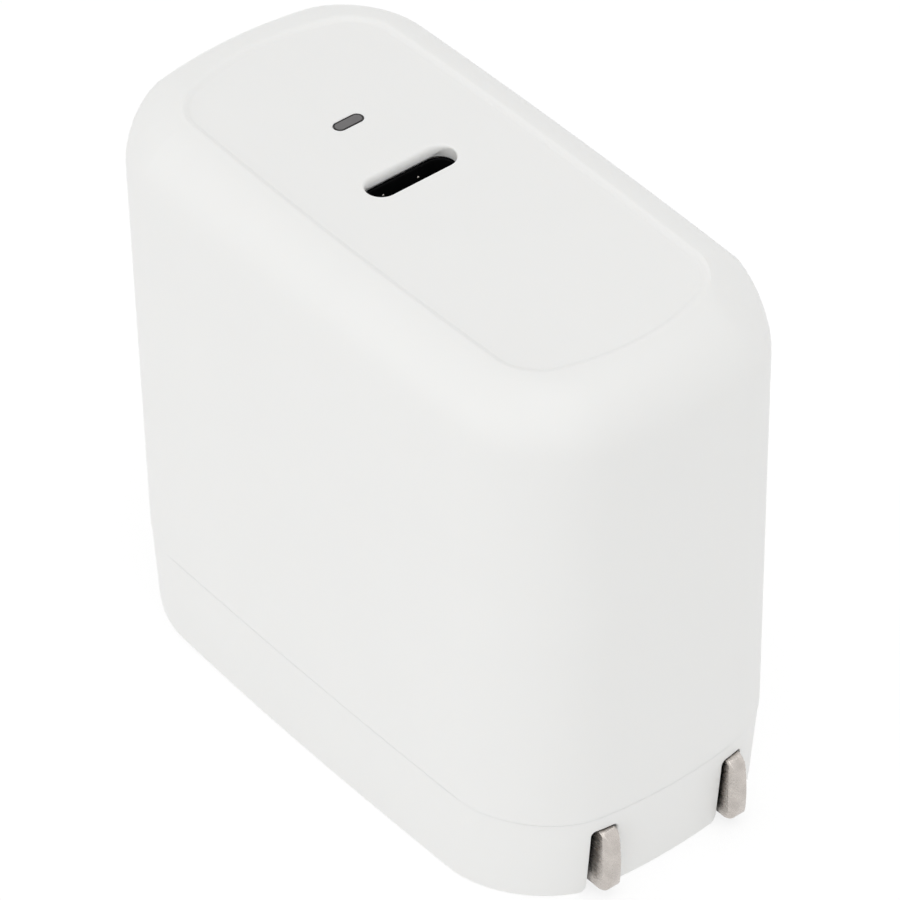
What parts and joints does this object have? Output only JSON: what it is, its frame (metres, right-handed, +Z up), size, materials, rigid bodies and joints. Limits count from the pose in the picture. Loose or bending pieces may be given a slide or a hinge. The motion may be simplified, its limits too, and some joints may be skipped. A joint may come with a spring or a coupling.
{
  "type": "laptop power adapter",
  "caption": "Compact wall-plug laptop power adapter with a rounded block case, a USB-C port on top, a status light and folding flat plug blades.",
  "frame": {"origin": "centre of the underside of the base", "axes": "+X along the case towards the tips of the folded blades, +Y across the case, +Z up towards the port"},
  "size_m": [0.0571, 0.029, 0.0509],
  "materials": {
    "case_white": "satin white, finely textured",
    "nickel_plate": "brass, nickel plated, brushed",
    "grey_plastic": "matte",
    "spring_steel": "satin",
    "contact_brass": "satin",
    "black_plastic": "matte",
    "board_green": "solder mask",
    "insulation_film": "thin film",
    "black_nickel": "black nickel plated",
    "gold_plate": "gold plated",
    "smoked_window": "smoked translucent plastic",
    "yellow_resin": "semi-matte",
    "blue_sleeve": "gloss",
    "aluminium": "satin",
    "ferrite": "matte dark grey",
    "copper_wire": "enamelled copper",
    "thermal_pad": "soft matte"
  },
  "bodies": {
    "case": {"main_housing": "case_white", "base_cover": "case_white", "carrier_retainer": "grey_plastic", "retainer_screw_rear": "spring_steel", "retainer_screw_front": "spring_steel", "contact_spring_line": "contact_brass", "contact_spring_neutral": "contact_brass", "detent_spring": "spring_steel", "wire_line": "black_plastic", "wire_neutral": "grey_plastic", "main_board": "board_green", "insulation_film": "insulation_film", "port_board": "board_green", "board_header": "black_plastic", "usb_shell": "black_nickel", "usb_insulator": "black_plastic", "usb_contacts_front": "gold_plate", "usb_contacts_rear": "gold_plate", "status_light_pipe": "smoked_window", "status_led": "yellow_resin", "bulk_capacitor_lower": "blue_sleeve", "bulk_capacitor_upper": "blue_sleeve", "output_capacitor_left": "aluminium", "output_capacitor_right": "aluminium", "transformer_core_rear": "ferrite", "transformer_core_front": "ferrite", "transformer_bobbin": "black_plastic", "transformer_winding": "yellow_resin", "choke_core": "ferrite", "choke_winding_upper": "copper_wire", "choke_winding_lower": "copper_wire", "choke_base": "black_plastic", "x_capacitor": "yellow_resin", "y_capacitor": "blue_sleeve", "fuse": "black_plastic", "optocoupler": "black_plastic", "bridge_rectifier": "black_plastic", "power_switch": "black_plastic", "power_delivery_controller": "black_plastic", "output_rectifier": "black_plastic", "heat_spreader": "aluminium", "thermal_pad": "thermal_pad"},
    "prongs": {"prong_carrier": "case_white", "blade_line": "nickel_plate", "blade_neutral": "nickel_plate"}
  },
  "joints": [
    {"name": "prong_fold", "type": "hinge", "parent": "case", "child": "prongs", "pos_m": [0.007, 0, 0.00387], "axis": [0, 1, 0], "range_deg": [0, 90]}
  ]
}
